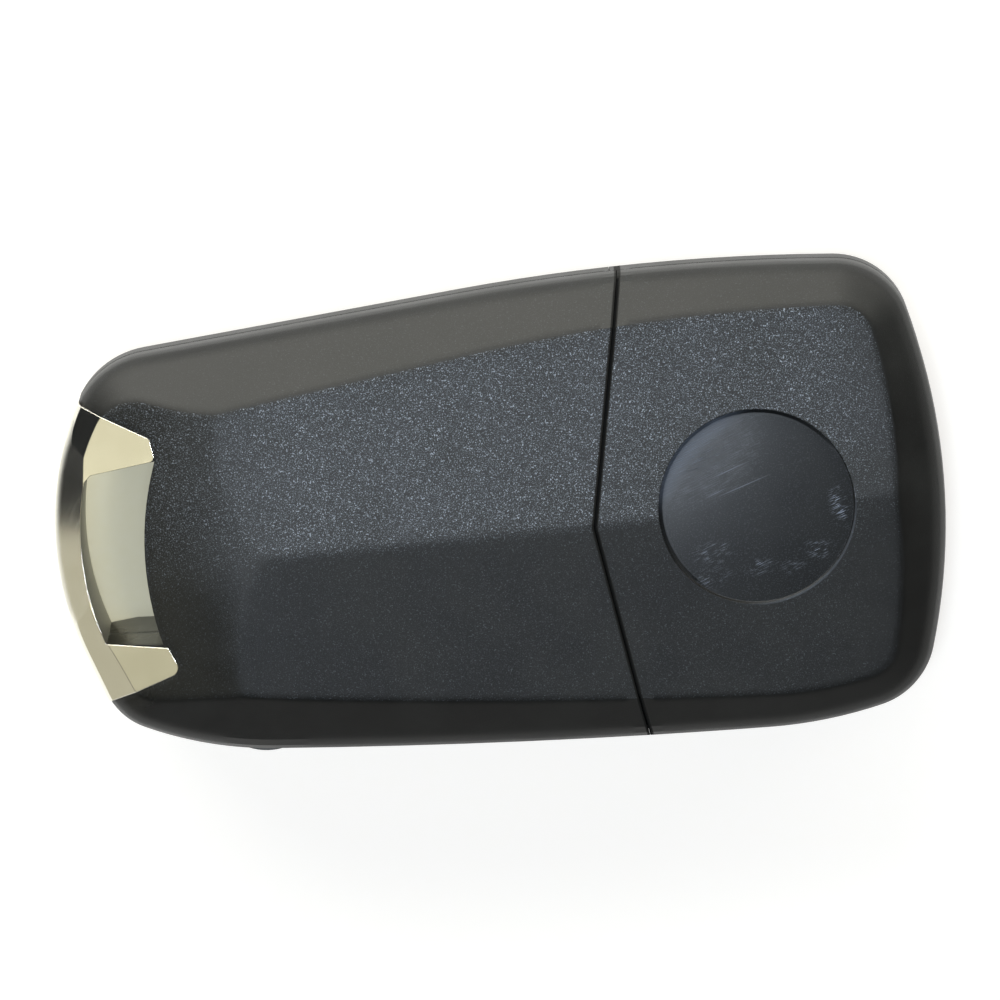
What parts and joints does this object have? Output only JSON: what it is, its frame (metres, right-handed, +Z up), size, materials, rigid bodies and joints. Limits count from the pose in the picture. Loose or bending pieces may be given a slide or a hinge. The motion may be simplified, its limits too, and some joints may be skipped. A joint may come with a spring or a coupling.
{
  "type": "car remote key",
  "caption": "Folding car remote key: plastic casing with bevelled back and bare round badge seat, metal key-ring bow, flip-out blade, push buttons and a pull-off remote section.",
  "frame": {"origin": "on the plane the front face lies on, under the middle of the casing's box", "axes": "+X along the key towards the wide end, +Y across it away from the blade side, +Z up out of the back face"},
  "size_m": [0.075, 0.0401, 0.0156],
  "materials": {
    "casing_black": "fine spark-eroded grain with a pale fleck",
    "screw_steel": "zinc plated",
    "bow_chrome": "polished",
    "blade_steel": "nickel plated, milled",
    "hub_metal": "dark die-cast zinc",
    "pin_steel": "plain",
    "button_chrome": "polished",
    "spring_steel": "spring wire",
    "transponder_plastic": "moulded brick",
    "frame_plastic": "moulded",
    "board_green": "lacquered laminate",
    "switch_body": "moulded",
    "plunger_plastic": "moulded",
    "key_rubber": "soft touch",
    "chip_plastic": "moulded",
    "resonator_can": "plated can",
    "cell_steel": "plated",
    "clip_metal": "plated spring sheet"
  },
  "bodies": {
    "head": {"head_back_shell": "casing_black", "head_front_shell": "casing_black", "head_screws": "screw_steel", "ring_bow": "bow_chrome", "flip_spring": "spring_steel", "transponder": "transponder_plastic"},
    "blade": {"key_blade": "blade_steel", "blade_hub": "hub_metal", "blade_roll_pin": "pin_steel"},
    "release": {"release_button": "button_chrome"},
    "remote": {"remote_back_cover": "casing_black", "remote_front_cover": "casing_black", "keypad_frame": "frame_plastic", "circuit_board": "board_green", "lock_switch": "switch_body", "unlock_switch": "switch_body", "controller_chip": "chip_plastic", "resonator": "resonator_can", "coin_cell": "cell_steel", "battery_clip_negative": "clip_metal", "battery_clip_positive": "clip_metal"},
    "lock_key": {"lock_button": "key_rubber", "lock_plunger": "plunger_plastic"},
    "unlock_key": {"unlock_button": "key_rubber", "unlock_plunger": "plunger_plastic"}
  },
  "joints": [
    {"name": "blade_flip", "type": "hinge", "parent": "head", "child": "blade", "pos_m": [-0.0204, -0.0149, 0.00775], "axis": [0, 0, 1], "range_deg": [-180, 0]},
    {"name": "release_press", "type": "slide", "parent": "head", "child": "release", "axis": [0, 0, 1], "range_m": [0, 0.001], "stiffness_N_per_m": 400, "deforming": ["flip_spring"]},
    {"name": "remote_slide", "type": "slide", "parent": "head", "child": "remote", "axis": [1, 0, 0], "range_m": [0, 0.015]},
    {"name": "lock_press", "type": "slide", "parent": "remote", "child": "lock_key", "axis": [0, 0, 1], "range_m": [0, 0.0004], "stiffness_N_per_m": 1500},
    {"name": "unlock_press", "type": "slide", "parent": "remote", "child": "unlock_key", "axis": [0, 0, 1], "range_m": [0, 0.0004], "stiffness_N_per_m": 1500}
  ]
}
